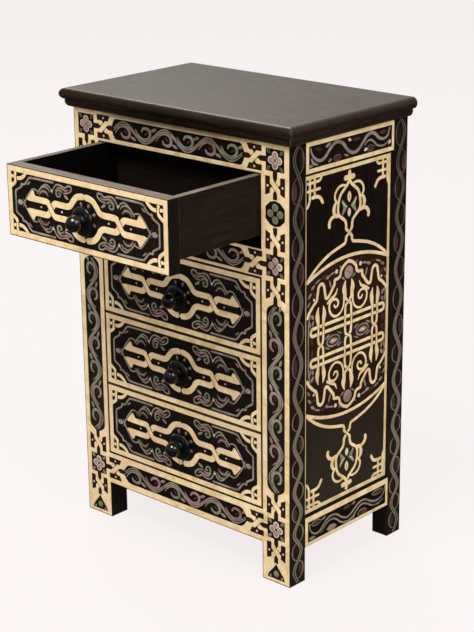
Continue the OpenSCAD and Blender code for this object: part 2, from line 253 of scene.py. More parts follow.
# Their inside colour, (10, 8, 6), is painted shade inside the drawers; their top colour is the
# bare, rubbed top edges.
box_board = {
    axis: stained_wood(
        f"drawer_board_{axis.lower()}", ((20, 15, 12), (30, 23, 19), (42, 33, 28)), axis,
        (0.42, 0.6), (128, 114, 98), 0.9, RUBBED, inside=(10, 8, 6),
    )
    for axis in "XY"
}
# Its low colour is a painted reflection of the pale floor on the panel's lower part.
side_lacquer = stained_wood("side_panel_lacquer", BLACK, "Z", SATIN, WORN, low=(52, 44, 35))
box_floor = stained_wood(
    "drawer_floor", ((14, 10, 8), (20, 15, 12), (30, 24, 20)), "Y", (0.5, 0.66),
)
front_board = stained_wood(
    "drawer_front_lacquer", ((16, 12, 10), (24, 19, 16), (35, 29, 25)), "X", (0.36, 0.52), WORN,
    top=RUBBED,
)
bare_wood = stained_wood(
    "bare_wood", ((120, 92, 66), (146, 114, 84), (168, 136, 104)), "Y", (0.6, 0.75),
    (176, 148, 118), 0.3,
)
knob_gloss = gloss("knob_gloss", (7, 6, 6), (18, 15, 14))
screw_zinc = zinc("zinc_plate", (150, 146, 136), (186, 182, 170))
# Each colour's material, the slot of its pieces, and how far it stands out from the board
PAINTS = {
    "cream": (
        paint("cream_paint", (204, 170, 114), (228, 201, 149), (240, 220, 178),
              blush=(218, 187, 152)),
        "cream_paint", 0.42,
    ),
    "dark": (paint("brown_outline", (26, 12, 4), (39, 20, 7), (54, 30, 14)), "painted_wood", 0.50),
    "grey": (
        paint("grey_line", (100, 89, 77), (136, 123, 108), (164, 151, 135)), "grey_paint", 0.30,
    ),
    # The dim lines' low colour lightens them near the floor, a painted reflection of floor light.
    "shade": (
        paint("dim_line", (58, 51, 44), (84, 74, 65), (108, 97, 86), low=(134, 119, 105)),
        "grey_paint", 0.28,
    ),
    "green": (
        paint("sage_paint", (94, 95, 73), (124, 125, 101), (152, 152, 127)), "green_paint", 0.36,
    ),
    "pink": (
        paint("pink_paint", (112, 86, 82), (144, 115, 110), (172, 145, 139)), "pink_paint", 0.36,
    ),
    "rose": (paint("rose_paint", (48, 28, 21), (68, 43, 34), (92, 62, 51)), "pink_paint", 0.40),
    "white": (
        paint("white_paint", (184, 162, 140), (210, 190, 168), (228, 212, 194)),
        "cream_paint", 0.60,
    ),
}
# Depth to which the paint's solids are sunk into the board, so that no gap shows
SUNK = 0.25


# Lines and outlines, as arrays of points in millimetres

# Degrees from one point of an arc to the next
ARC_STEP = 11
# Lengths under this are nothing
TINY = 1e-9


def length_of(step):
    return np.hypot(step[0], step[1])


def line(*points):
    return np.array(points, float)


def smooth(*points, steps=7):
    """A smooth curve through the points, in so many steps from each to the next."""
    p = np.array(points, float)
    p = np.vstack([2 * p[0] - p[1], p, 2 * p[-1] - p[-2]])
    made = [
        b + 0.5 * t * (c - a + t * (2 * a - 5 * b + 4 * c - d + t * (3 * (b - c) + d - a)))
        for a, b, c, d in zip(p, p[1:], p[2:], p[3:]) for t in np.arange(steps) / steps
    ]
    return np.array([*made, p[-2]])


def arc(u, v, radius, start, end, end_radius=None):
    """An arc, or a spiral if it ends at another radius. The angles are degrees."""
    count = max(3, int(abs(end - start) / ARC_STEP) + 1)
    angles = np.radians(np.linspace(start, end, count))
    radii = np.linspace(radius, radius if end_radius is None else end_radius, count)
    return np.column_stack([u + radii * np.cos(angles), v + radii * np.sin(angles)])


def joined(*parts):
    return np.vstack(parts)


def mirrored(points, axis):
    """The points mirrored in the u axis (axis 1) or the v axis (axis 0), in reverse order."""
    other = points.copy()
    other[:, axis] *= -1
    return other[::-1]


def dense(path, step=1.5):
    """The path with points at most a step apart."""
    made = [path[:1]]
    for a, b in zip(path, path[1:]):
        count = max(1, math.ceil(length_of(b - a) / step))
        made.append(a + (b - a) * (np.arange(1, count + 1) / count)[:, None])
    return np.vstack(made)


def slot_line(a, b, width):
    """A narrow four-sided shape from a to b."""
    a, b = np.array(a, float), np.array(b, float)
    across = np.array([a[1] - b[1], b[0] - a[0]]) / length_of(b - a) * width / 2
    return np.array([a - across, b - across, b + across, a + across])


def box_line(u0, u1, v0, v1):
    return line((u0, v0), (u1, v0), (u1, v1), (u0, v1))


def eased(path, closed, least_bend=0.07, longest=14):
    """The path without the points that add no bend to it."""
    kept = [0]
    for i in range(1, len(path) - 1):
        before = path[i] - path[kept[-1]]
        after = path[i + 1] - path[i]
        size = length_of(before) * length_of(after)
        bend = abs(before[0] * after[1] - before[1] * after[0]) / max(size, TINY)
        if bend > least_bend or length_of(before) > longest:
            kept.append(i)
    kept.append(len(path) - 1)
    return path[kept] if not closed else path[kept[:-1]] if len(kept) > 3 else path


class Pot:
    """The shapes of one colour on one body, which become one piece."""

    def __init__(self, colour):
        self.material, self.slot, self.proud = PAINTS[colour]
        self.points = []
        self.faces = []
        self.count = 0

    def layer(self):
        """A few hundredths of a millimetre that keep crossing strokes apart."""
        self.count += 1
        return 0.012 * (self.count % 9)

    def add(self, points, faces):
        start = sum(len(p) for p in self.points)
        self.points.append(points)
        self.faces += [[start + i for i in face] for face in faces]


def new_pots():
    return {colour: Pot(colour) for colour in PAINTS}


UP = Vector((0, 0, 1))


class Sheet:
    """An upright face to paint on: u runs across it, v up, and heights stand out from it."""

    def __init__(self, pots, origin, across, turn=None, shift=(0, 0)):
        self.pots = pots
        self.origin = Vector(origin)
        self.across = Vector(across)
        self.out = np.array(self.across.cross(UP))
        self.turn = np.eye(2) if turn is None else turn
        self.shift = np.array(shift, float)

    def at(self, u=0, v=0, angle=0, mirror_u=False, mirror_v=False):
        """The same face with its zero at u, v, turned by an angle in degrees or mirrored."""
        a = math.radians(angle)
        turn = np.array([[math.cos(a), -math.sin(a)], [math.sin(a), math.cos(a)]])
        turn = turn @ np.diag([-1 if mirror_u else 1, -1 if mirror_v else 1])
        shift = self.flat([(u, v)])[0]
        return Sheet(self.pots, self.origin, self.across, self.turn @ turn, shift)

    def flat(self, points):
        """The points in the whole face's own u and v."""
        return np.array(points, float) @ self.turn.T + self.shift

    def solid(self, points, height):
        """Places in metres of points of the whole face, at one height."""
        base = np.array(self.origin) + np.outer(points[:, 0], self.across)
        return (base + np.outer(points[:, 1], UP) + height * self.out) * MM

    def facing(self, faces):
        """The faces, turned over where the sheet is mirrored."""
        return [face[::-1] for face in faces] if np.linalg.det(self.turn) < 0 else faces


def unit(steps):
    return steps / np.maximum(np.hypot(*steps.T), TINY)[:, None]


def left_of(path, closed, sharpest=0.6):
    """Unit normals on the left of a path, longer at its corners so that widths hold."""
    if closed:
        before = path - np.roll(path, 1, axis=0)
        after = np.roll(path, -1, axis=0) - path
    else:
        steps = np.diff(path, axis=0)
        before = np.vstack([steps[0], steps])
        after = np.vstack([steps, steps[-1]])
    before, after = unit(before), unit(after)
    middle = unit(before + after)
    normal = np.column_stack([-middle[:, 1], middle[:, 0]])
    reach = np.abs(before[:, 0] * normal[:, 1] - before[:, 1] * normal[:, 0])
    return normal / np.maximum(reach, sharpest)[:, None]


# Section of a stroke: which side, how far out across its width, and how much of its height
EDGE = 0.4
SECTION = (
    (-1, "rim", None), (-1, "rim", EDGE), (-1, "crown", 1),
    (1, "crown", 1), (1, "rim", EDGE), (1, "rim", None),
)
# Angles in degrees of the points of a stroke's round end
BOWS = np.radians([78, 48, 22])


def stroke(sheet, colour, path, width, lift=0.0, closed=False):
    """A brush stroke with round ends. width is one number, or several along the path."""
    pot = sheet.pots[colour]
    if np.isscalar(width):
        path = eased(path, closed)
        half = np.full(len(path), width / 2)
    else:
        length = np.concatenate([[0], np.cumsum(np.hypot(*np.diff(path, axis=0).T))])
        half = np.interp(length / length[-1], np.linspace(0, 1, len(width)), width) / 2
    if not closed:
        start = (path[0] - path[1]) / length_of(path[0] - path[1])
        end = (path[-1] - path[-2]) / length_of(path[-1] - path[-2])
        heads = [path[0] + start * half[0] * math.sin(a) for a in BOWS]
        tails = [path[-1] + end * half[-1] * math.sin(a) for a in BOWS[::-1]]
        path = np.vstack([heads, path, tails])
        half = np.concatenate([half[0] * np.cos(BOWS), half, half[-1] * np.cos(BOWS[::-1])])
    normals = left_of(path, closed)
    height = pot.proud + lift + pot.layer()
    reach = {"rim": half, "crown": np.maximum(0.5 * half, half - 0.7)}
    rings = []
    for way, place, share in SECTION:
        points = sheet.flat(path + normals * (way * reach[place])[:, None])
        rings.append(sheet.solid(points, -SUNK if share is None else share * height))
    count, sides = len(path), len(SECTION)
    points = np.stack(rings, axis=1).reshape(-1, 3)
    faces = []
    for i in range(count if closed else count - 1):
        j = (i + 1) % count
        for k in range(sides):
            m = (k + 1) % sides
            faces.append([i * sides + k, j * sides + k, j * sides + m, i * sides + m])
    if not closed:
        faces.append(list(range(sides)))
        faces.append([(count - 1) * sides + k for k in reversed(range(sides))])
    pot.add(points, sheet.facing(faces))


def curve(sheet, colour, width, *points, lift=0.0):
    """A brush stroke on a smooth curve through the points."""
    stroke(sheet, colour, smooth(*points), width, lift)


def bridge(sheet, path, width, crossing, reach):
    """A cream strap over another strap, edged dark within its reach of their crossing."""
    stroke(sheet, "cream", path, width, 0.3)
    near = np.hypot(*(path - crossing).T) < reach
    edge = [width - 1.5, width + 2.0, width + 2.0, width + 2.0, width - 1.5]
    stroke(sheet, "dark", path[near], edge, 0.12)


def dot(sheet, colour, u, v, radius, lift=0.0):
    """A domed dot of paint."""
    pot = sheet.pots[colour]
    sides = 14
    height = pot.proud + lift + pot.layer()
    angles = np.arange(sides) * 2 * math.pi / sides
    circle = np.column_stack([np.cos(angles), np.sin(angles)]) * radius
    points = [
        sheet.solid(sheet.flat(share * circle + (u, v)), rise)
        for share, rise in ((1, -SUNK), (1, EDGE * height), (0.7, 0.9 * height))
    ]
    points.append(sheet.solid(sheet.flat([(u, v)]), height))
    faces = [list(reversed(range(sides)))]
    for ring in (0, 1):
        for k in range(sides):
            m = (k + 1) % sides
            low, high = ring * sides, (ring + 1) * sides
            faces.append([low + k, low + m, high + m, high + k])
    faces += [[2 * sides + k, 2 * sides + (k + 1) % sides, 3 * sides] for k in range(sides)]
    pot.add(np.vstack(points), sheet.facing(faces))


def leaf(sheet, colour, u, v, angle, length, width, lift=0.0):
    """A pointed oval of paint."""
    a = math.radians(angle)
    along = np.array([math.cos(a), math.sin(a)])
    path = np.outer(np.linspace(-0.5, 0.5, 9) * length, along) + (u, v)
    stroke(sheet, colour, path, width * np.sin(np.radians([8, 40, 70, 90, 90, 75, 45, 8])), lift)


def plate(sheet, colour, outlines, holes, lift=0.0):
    """A flat area of paint inside the outlines and outside the holes, with a soft edge.

    The outlines and holes are in the whole face's u and v, and may overlap.
    """
    pot = sheet.pots[colour]
    height = pot.proud + lift
    rings = [*outlines, *holes]
    for i, ring in enumerate(rings):
        turned = np.sum(ring[:, 0] * np.roll(ring[:, 1], -1) - ring[:, 1] * np.roll(ring[:, 0], -1))
        if turned < 0:
            rings[i] = ring[::-1]
    starts = np.cumsum([0] + [len(ring) for ring in rings])
    loops = [list(range(a, b)) for a, b in zip(starts, starts[1:])]
    flat, _, areas, _, _, owners = delaunay_2d_cdt(
        [Vector(p) for p in np.vstack(rings)], [], loops, 1, 1e-5
    )
    shown = [
        list(area) for area, owner in zip(areas, owners)
        if any(o < len(outlines) for o in owner) and not any(o >= len(outlines) for o in owner)
    ]
    flat = np.array([tuple(p) for p in flat])
    follows = dict.fromkeys(pair for area in shown for pair in zip(area, area[1:] + area[:1]))
    rim = [(a, b) for a, b in follows if (b, a) not in follows]
    inward = np.zeros_like(flat)
    for a, b in rim:
        step = (flat[b] - flat[a]) / max(length_of(flat[b] - flat[a]), TINY)
        for end in (a, b):
            inward[end] += (-step[1], step[0])
    size = np.hypot(*inward.T)
    edge = size > 1e-6
    inward[edge] /= (size[edge] ** 2 / 2).clip(0.5)[:, None]
    soft, count = 0.3, len(flat)
    points = np.vstack([
        sheet.solid(flat, -SUNK), sheet.solid(flat, EDGE * height),
        sheet.solid(flat + inward * soft, height),
    ])
    faces = [[2 * count + i for i in area] for area in shown]
    faces += [list(reversed(area)) for area in shown]
    for a, b in rim:
        faces.append([a, b, count + b, count + a])
        faces.append([count + a, count + b, 2 * count + b, 2 * count + a])
    used = sorted({i for face in faces for i in face})
    renumber = {old: new for new, old in enumerate(used)}
    pot.add(points[used], [[renumber[i] for i in face] for face in faces])


# Motifs shared by the front and the sides

def framed(sheet, outer, inner):
    """A cream frame between two boxes, each given as (u0, u1, v0, v1)."""
    plate(sheet, "cream", [box_line(*outer)], [box_line(*inner)])


def knot(sheet):
    """A strap knot between a flower square at v = 0 and a panel at v = 38: its dark cells."""
    cell = line((9, 7.6), (17.7, 7.6), (17.7, 34.6), (9, 30.6), (9, 24.6), (4.8, 21), (9, 17.4))
    slit = line((-4, -1.5), (4, -1.5), (3.9, 10.4), (0, 16.4), (-3.9, 10.4))
    inner_slit = line((0, 25.6), (3.7, 31), (3.9, 39.5), (-3.9, 39.5), (-3.7, 31))
    edges = (slot_line((6.5, 21), (0.3, 26.6), 0.9), slot_line((-6.5, 21), (-0.3, 15.4), 0.9))
    for side in (-1, 1):
        dot(sheet, "white", side * 13.2, 21, 1.7)
    cells = [sheet.flat(shape) for shape in (cell, mirrored(cell, 0), slit, inner_slit, *edges)]
    plate(sheet, "dark", cells, [], -0.35)
    return cells


def flower(sheet):
    """A four-petalled flower in its dark square."""
    for angle in (0, 90, 180, 270):
        turned = sheet.at(angle=angle)
        dot(turned, "white", 7.2, 0, 5.4, -0.2)
        dot(turned, "pink", 7.2, 0, 5.0, 0.12)
        leaf(turned, "shade", 11.8, 11.4, 45, 8.5, 5)
        stroke(turned, "rose", line((0, 0), (6, 6)), [2.2, 1.6, 0.8], 0.16)
    return [sheet.flat(box_line(-16.5, 16.5, -15.5, 15.5))]


def round_medallion(sheet):
    """Four ringed petals in an eight-sided dark field."""
    for angle in (0, 90, 180, 270):
        turned = sheet.at(angle=angle)
        dot(turned, "green", 8.8, 0, 5.4)
        stroke(turned, "dark", arc(8.8, 0, 3, 0, 360)[:-1], 0.8, 0.1, True)
        dot(turned, "dark", 8.8, 0, 1.2, 0.12)
    half = line((0, 18.5), (9, 16), (17.3, 8.5), (17.3, -8.5), (9, -16), (0, -18.5))
    return [sheet.flat(joined(half, mirrored(half, 0)[1:-1]))]


def curl(sheet, colour):
    """A branch that rolls up under the crest of a vine, with its leaf."""
    curve(sheet, colour, [1.3, 1.9, 2.1, 2.4, 3, 4, 4.5, 4.4, 3.8, 2.8], (-18, -5.5), (-13, 1),
          (-6.5, 5.2), (0.5, 6.4), (7.6, 4.2), (11.4, -1.4), (9.6, -7.4), (3.4, -9.6),
          (-2.8, -8.2), (-5.4, -4.4), lift=0.05)
    leaf(sheet, colour, 18.5, -8.8, -22, 11, 4.4)
    leaf(sheet, "rose", 3.5, -1.4, -30, 9, 3)


def vine(sheet, length, waves, colours, first_up=True):
    """A waving stem from u = 0 to u = length, with a curl in each half wave."""
    step = length / waves
    reach = 11.2 if first_up else -11.2
    u = np.linspace(0, length, 12 * waves + 1)
    stem = np.column_stack([u, reach * np.sin(math.pi * u / step)])
    for aside in (-1.7, 1.7):
        stroke(sheet, "grey", stem + (0, aside), [1.4, 2.2, 2.2, 2.2, 1.4])
    for i in range(waves):
        up = (i % 2 == 0) == first_up
        curl(sheet.at((i + 0.5) * step, 0, mirror_v=not up), colours[i % 2])


def panel_ends(length, half, depth):
    """Outline of a vine's dark panel from u = 0 to u = length, with shaped ends."""
    quarter = line(
        (0, 0), (0.22 * depth, 0.28 * half), (0.42 * depth, 0.62 * half),
        (0.68 * depth, 0.9 * half), (depth, half),
    )
    near = joined(quarter[1:], line((length / 2, half)))
    far = mirrored(near, 0) + (length, 0)
    top = joined(line((0, 0)), near, far[1:], line((length, 0)))
    return joined(top, mirrored(top, 1)[1:-1])


# Front of the carcass

stile_u = (opening_half + half_w) / 2
rail_v = {
    "top": (top_place[1] + moulding_z) / 2,
    "middle": (lower_place[1] + top_place[0]) / 2,
    "bottom": (apron_z + lower_place[0]) / 2,
}
# Half width of the dark fields, length of a knot, and what stays bare along the edges
FIELD = 16
KNOT = 38
MARGIN = 1.2


def front_stile(sheet, side):
    """Paint of one stile and of the knots at its ends of the rails. Returns the dark shapes."""
    u = side * stile_u
    holes = []
    for v in rail_v.values():
        holes += flower(sheet.at(u, v))
        holes += knot(sheet.at(u - side * FIELD, v, 90 * side))
    above = sheet.at(u, rail_v["top"] - FIELD + 1, 180)
    below = sheet.at(u, rail_v["middle"] + FIELD - 1)
    holes += knot(above) + knot(below)
    holes += round_medallion(sheet.at(u, (rail_v["top"] + rail_v["middle"]) / 2))
    start, end = rail_v["middle"] - FIELD + 1, rail_v["bottom"] + FIELD - 1
    holes += knot(sheet.at(u, start, 180)) + knot(sheet.at(u, end))
    holes += knot(sheet.at(u, rail_v["bottom"] - FIELD + 2, 180))
    length = start - end - 2 * KNOT + 2
    panel = sheet.at(u, end + KNOT - 1, 90, mirror_v=side > 0)
    holes.append(panel.flat(panel_ends(length, FIELD + 0.5, 15)))
    vine(panel.at(6), length - 12, 7, ("green", "pink"), False)
    foot = line((0, 30), (4, 24), (10, 17), (15, 11), (16.5, 5.5), (0, 5.5))
    foot = joined(foot, mirrored(foot, 0)[1:-1])
    holes.append(sheet.at(u, 0).flat(foot))
    dot(sheet, "green", u, 14, 4.8)
    for way in (-1, 1):
        dot(sheet, "grey", u + way * 11, 9, 1.9)
    return holes


def front_rail(sheet, v, depth, colours):
    """Vine of one rail. Returns its dark panel."""
    length = 2 * (stile_u - FIELD - KNOT + 1)
    panel = sheet.at(-length / 2, v)
    vine(panel.at(6), length - 12, 6, colours)
    return [panel.flat(panel_ends(length, FIELD - 0.5, depth))]


def paint_front(pots):
    sheet = Sheet(pots, (0, front_y, 0), (1, 0, 0))
    holes = front_stile(sheet, -1) + front_stile(sheet, 1)
    holes += front_rail(sheet, rail_v["top"], 10, ("pink", "green"))
    holes += front_rail(sheet, rail_v["middle"], 13, ("green", "pink"))
    holes += front_rail(sheet, rail_v["bottom"], 18, ("green", "pink"))
    inner, outer = opening_half + MARGIN, half_w - MARGIN
    for low, high in (top_place, lower_place):
        holes.append(box_line(-inner, inner, low - MARGIN, high + MARGIN))
    foot, apron, head = MARGIN, apron_z + MARGIN, moulding_z - 0.3
    outline = line((-outer, foot), (-inner, foot), (-inner, apron), (inner, apron), (inner, foot),
                   (outer, foot), (outer, head), (-outer, head))
    plate(sheet, "cream", [outline], holes)


# Drawer fronts

def spandrel(sheet, half_u, half_v):
    """Two short straps that cross in a corner of a drawer front's field, at its upper right."""
    place = sheet.at(half_u, half_v, mirror_u=True, mirror_v=True)
    curve(place, "cream", [3.4, 5, 5.4, 5.4, 5.2, 4.6],
          (31, -0.5), (26, 4), (20, 7.6), (14, 8.6), (8, 7.8), (2.4, 7))
    over = smooth((-1, 21.5), (3.4, 18.6), (7.6, 15), (9, 10), (8.6, 2.6))
    bridge(place, over, 5, (9, 7.8), 6)


def drawer_quarter(sheet, tall):
    """Curls and lines in one quarter of a drawer front. tall stretches it to the front."""
    stretch = np.array([1, tall])

    def drawn(colour, width, *points, lift=0.0):
        stroke(sheet, colour, smooth(*points) * stretch, width, lift)

    # The field's edge line, and the long lines that follow the strap
    drawn("grey", 2.9, (62, 42.5), (86, 42.6), (108, 42), (113.5, 38.5), (119, 31.5), (123.5, 29),
          (127.5, 29), (128.5, 24.5), (136.5, 19.5), (140.4, 15.5), (140.6, 0))
    drawn("grey", [1.4, 2.4, 2.4, 2.4, 1.8], (66, 29.5), (70, 34.5), (77, 37), (84, 33), (89.5, 27))
    drawn("green", [1.4, 2.6, 2.6, 1.6],
          (69.5, 27), (73, 31), (79, 33), (86, 31), (91, 25.5), (95, 20))
    blush = ((73, 20.5), (78, 25.5), (86, 25), (91, 18.6))
    drawn("rose", [2.4, 6.4, 6.4, 2.4], *blush, lift=-0.2)
    drawn("pink", [1.4, 2.6, 2.6, 1.4], *blush)
    # The wave over the ring round the knob, with its crest and the curl under it
    drawn("grey", [1.8, 2.2, 2.4, 2.4, 2.4, 2.2, 1.8], (41, 30), (33, 31.5), (26, 36.5), (26.5, 42),
          (33, 42), (38.5, 38.6), (46, 40.6), (54, 41), (60.5, 35.5), (64.5, 26.5))
    crest = ((32, 36.6), (37, 34.4), (44, 36.4), (51, 36.6), (57, 32))
    drawn("rose", [2, 6, 6, 2], *crest, lift=-0.2)
    drawn("pink", [1.4, 2.4, 2.6, 1.6], *crest)
    roll = joined(arc(51, 26.5, 7.6, 150, -150, 3), arc(50, 26.3, 2.6, -170, -300, 2))
    stroke(sheet, "green", roll * stretch, [2.2, 2.6, 2.8, 2.4, 2])
    leaf(sheet, "grey", 36.5, 24.6 * tall, 30, 10, 4)
    dot(sheet, "white", 65.2, 29.4 * tall, 1.6)
    drawn("grey", [1.6, 2.2, 2.4, 2.4, 1.6], (89, 26.5), (94, 23.6), (99.5, 25.2), (105.5, 24.6),
          (110.5, 19), (116, 12), (120.5, 5), (124, -2))
    leaf(sheet, "grey", 112, 33 * tall, -38, 9, 2.4)


def drawer_straps(sheet, side):
    """The pair of cream straps on one side of the knob, which cross once."""
    way = sheet.at(mirror_u=side < 0)
    upper = smooth((3.8, 28.4), (10, 27.6), (17, 24.8), (23.4, 18.4), (28.4, 12), (35, 9.6),
                   (44, 9.6))
    lower = smooth((5, -31.4), (12, -30.2), (18.5, -27.2), (24.8, -20.8), (29.4, -13.6),
                   (36, -9.8), (44, -9.6))
    falls = smooth((58, 9.6), (62, 7.6), (67.5, 0), (73, -7.6), (77, -9.6))
    rises = falls * (1, -1)
    band = 8.8
    sign = -1 if side > 0 else 1
    over, under = (falls, rises) if side > 0 else (rises, falls)
    inner_over, inner_under = (upper, lower) if side > 0 else (lower, upper)
    ends = {1: line((77, 9.6), (101, 9.6)), -1: line((77, -9.6), (101, -9.6))}
    stroke(way, "cream", joined(inner_under, under, ends[-sign]), band)
    bridge(way, dense(joined(inner_over, over, ends[sign])), band, (67.5, 0), 12)
    head = line(
        (97, 5.2), (112.5, 5.2), (117.8, 6.8), (113.5, 11.8), (109.4, 16.6), (105.6, 20.8),
        (103.2, 20.6), (101.4, 16.6), (99.6, 14), (97, 14),
    )
    for shape in (head, mirrored(head, 1)):
        plate(way, "cream", [way.flat(shape)], [], 0.4)
    for u, radius in ((46, 1.5), (88, 1.3)):
        dot(way, "white", u, 0, radius)
    leaf(way, "grey", 131.5, 0, 0, 11.5, 7.5)
    leaf(way, "shade", 124, 3.4, 50, 6, 2.6)
    leaf(way, "shade", 124, -3.4, -50, 6, 2.6)


def rosette(sheet):
    """Petals round the knob."""
    for angle in range(22, 360, 45):
        leaf(sheet.at(angle=angle), "pink", 19, 0, 0, 6.5, 4.4)


# Half height of the field that a drawer front's curls are drawn for
DRAWN_HALF = 46.6


def paint_drawer(pots, n):
    low, high = corners(f"drawer_{n}_front")
    half_u, half_v = high.x, (high.z - low.z) / 2
    sheet = Sheet(pots, (0, low.y, (low.z + high.z) / 2), (1, 0, 0))
    border = 7.6
    field_u, field_v = half_u - border - MARGIN, half_v - border - MARGIN
    framed(sheet, (-half_u + MARGIN, half_u - MARGIN, -half_v + MARGIN, half_v - MARGIN),
           (-field_u, field_u, -field_v, field_v))
    tall = field_v / DRAWN_HALF
    for side_u in (1, -1):
        for side_v in (1, -1):
            quarter = sheet.at(mirror_u=side_u < 0, mirror_v=side_v < 0)
            drawer_quarter(quarter, tall)
            spandrel(quarter, field_u, field_v)
        drawer_straps(sheet, side_u)
    rosette(sheet)


# Sides of the carcass

# Heights of the leaves beside the winding stem of a post, from the top down
POST_LEAVES = (625, 583, 546, 504, 466, 424, 380, 335, 293, 252, 216, 180, 145, 112, 80, 52, 23)


def winding(sheet, u, first):
    """A double stem that winds down one post's side at u. first is the first leaf's side."""
    ways = [first * (-1) ** i for i in range(len(POST_LEAVES))]
    turns = [(u - 7.6 * way, z) for way, z in zip(ways, POST_LEAVES)]
    stem = smooth((u, moulding_z - 2), *turns, (u, 3))
    for aside in (-2.1, 2.1):
        stroke(sheet, "shade", stem + (aside, 0), [1.8, 3.7, 3.7, 3.7, 1.8])
    for i, (way, z) in enumerate(zip(ways, POST_LEAVES)):
        tall = 15.5 if i < 8 else 11.5
        place = sheet.at(u + 6.4 * way, z, mirror_u=way < 0)
        leaf(place, "rose" if i % 3 == 1 else "dark", -0.6, 0, 90, 1.5 * tall, 7.4)
        curve(place, "shade", [1.2, 2, 2.5, 2, 1.2], (-4, 1.25 * tall), (3, 0.75 * tall), (5.4, 0),
              (3, -0.75 * tall), (-4, -1.25 * tall), lift=-0.05)


def berries(sheet, *rows):
    """Leaves by colour, place, angle, length and width, with a grey edge on the broad ones."""
    for colour, u, v, angle, length, width in rows:
        if width > 6:
            leaf(sheet, "shade", u, v, angle, length + 2.4, width + 2.4)
        leaf(sheet, colour, u, v, angle, length, width, 0.1)


def side_rail_top(sheet, near, far):
    framed(sheet, (near + 0.6, far - 0.6, side_top_rail_z + 0.5, moulding_z - 0.6),
           (near + 6.5, far - 5.5, side_top_rail_z + 6.5, moulding_z - 7))
    curve(sheet, "grey", [2.4, 4.8, 4.8, 5, 4.8, 4.8, 2.8], (-86, 637), (-83, 629), (-75, 621),
          (-65, 617.5), (-55, 621), (-45, 630), (-36, 636), (-27, 637), (-17, 632.5), (-8, 623),
          (0, 617.5), (8, 616), (17, 618.5), (27, 627), (36, 634.5), (46, 637), (55, 633.5),
          (63, 627), (73, 624), (82, 627), (87, 637))
    curve(sheet, "grey", [1.6, 2.6, 2.8, 2.8, 1.8],
          (31, 622), (37, 626.5), (45, 627), (53, 622), (60, 616.5), (74, 614.5), (87, 620))
    curve(sheet, "grey", [3, 4.4, 2], (-84, 622), (-80, 616), (-72, 613))
    berries(
        sheet,
        ("white", -3, 635.5, -20, 7, 4), ("white", 33, 615.5, 15, 8, 4.4),
        ("rose", -29, 615, 0, 15, 7), ("green", -49, 636, 20, 12, 4.5),
        ("rose", 43, 616, 0, 17, 7), ("rose", 12, 634, 0, 17, 5), ("grey", -45, 614, 25, 8, 4),
        ("pink", -10, 615, -20, 11, 3.6), ("rose", -70, 634, -15, 17, 5),
        ("rose", 72, 634, 0, 15, 5), ("white", 87, 617, 50, 7, 4.4), ("green", -86, 613, 0, 8, 4),
    )


def side_rail_bottom(sheet, near, far):
    framed(sheet, (near + 0.6, far - 0.6, side_apron_z + 0.5, side_panel_z - 0.6),
           (near + 6.5, far - 5.5, side_apron_z + 5.5, side_panel_z - 9))
    curve(sheet, "grey", [2, 3, 3, 3, 3, 3, 2], (-86, 85), (-84, 75), (-77, 68), (-68, 65.5),
          (-60, 69), (-52, 76), (-43, 81), (-34, 82), (-24, 79.5), (-12, 71), (0, 66.5),
          (10, 69.5), (20, 76), (30, 80.5), (40, 81), (50, 77), (60, 71.5), (72, 69.5), (84, 73),
          (90, 80), (90.5, 86))
    curve(sheet, "grey", [1.6, 2.8, 2.8, 2.8, 1.6], (-60, 63), (-54, 68), (-46, 74), (-36, 76),
          (-26, 73), (-14, 63.5), (-2, 60), (10, 61), (20, 67.5), (30, 74), (40, 75), (50, 70.5),
          (60, 65), (74, 63), (86, 67))
    berries(
        sheet,
        ("pink", -36, 63, 0, 19, 8), ("rose", 36, 62.5, 0, 20, 8), ("rose", -71, 83, 0, 20, 7),
        ("rose", 0, 83, 0, 18, 6), ("rose", 72, 83, 0, 24, 7), ("grey", 15, 62, 30, 8, 4),
        ("green", -80, 61.5, 0, 14, 5), ("grey", 15, 84, 10, 9, 3.6), ("grey", -54, 84, 20, 9, 3.4),
    )


# Centre of a side panel's ornament on its face, which is alike in its four quarters
PANEL_MIDDLE = (4, 349.5)
# How far the outer arcs and the medallion reach each way
ARC_END = 90.5
# Strap widths of the finials, the medallion's outline and its columns
FINIAL_STRAP, CROWN_STRAP, COLUMN_STRAP = 4.6, 4.9, 4.4
# Heights of the medallion's level bars over and under its centre
BAR_V = 23


def bow(apex, radius, u):
    """Height at u of an arc whose highest point is at the apex."""
    return apex - radius + np.sqrt(radius ** 2 - np.square(u))


